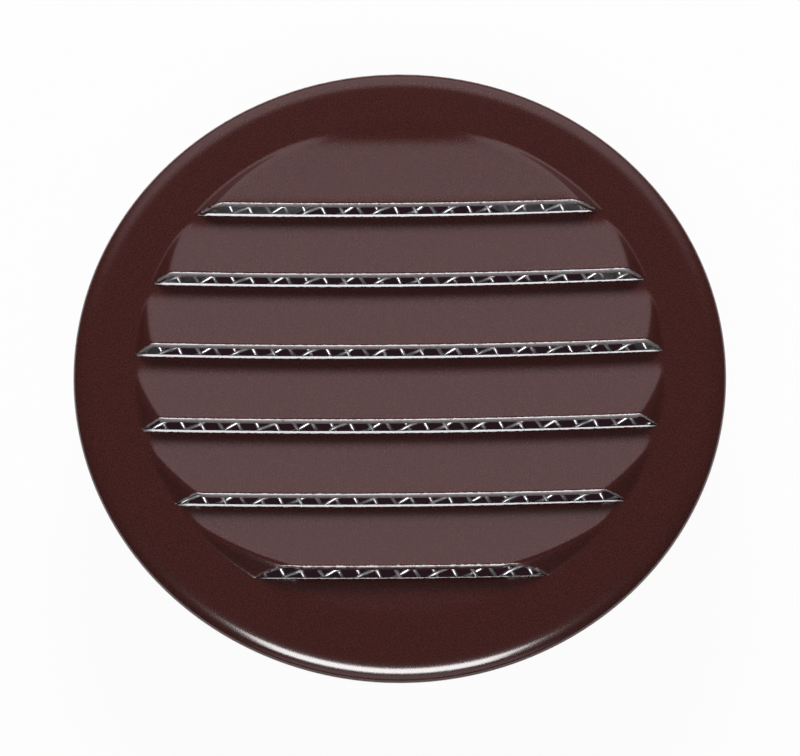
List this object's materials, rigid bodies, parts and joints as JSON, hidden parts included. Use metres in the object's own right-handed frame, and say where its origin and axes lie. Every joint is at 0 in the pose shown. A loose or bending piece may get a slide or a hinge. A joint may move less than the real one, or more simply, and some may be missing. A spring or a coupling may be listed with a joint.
{
  "type": "mini louver",
  "caption": "Round push-in louver vent: stamped, dished face with closed-end louvers that open downward, woven insect screen and flanged collar, crimped together by a rolled rim.",
  "frame": {"origin": "middle of the collar's back edge, on the louver's axis", "axes": "+Z out of the louvered face along the collar's axis, +Y up as the louver sits in a wall with its slots opening downward, +X to the right seen from the front"},
  "size_m": [0.0618, 0.0618, 0.0167],
  "materials": {
    "face_enamel": "glossy baked enamel, bare along the sheared slot edges",
    "screen_wire": "bright drawn wire, plain weave",
    "collar_metal": "bare mill finish"
  },
  "bodies": {
    "root": {"louver_cap": "face_enamel", "insect_screen": "screen_wire", "collar_ring": "collar_metal"}
  },
  "joints": []
}
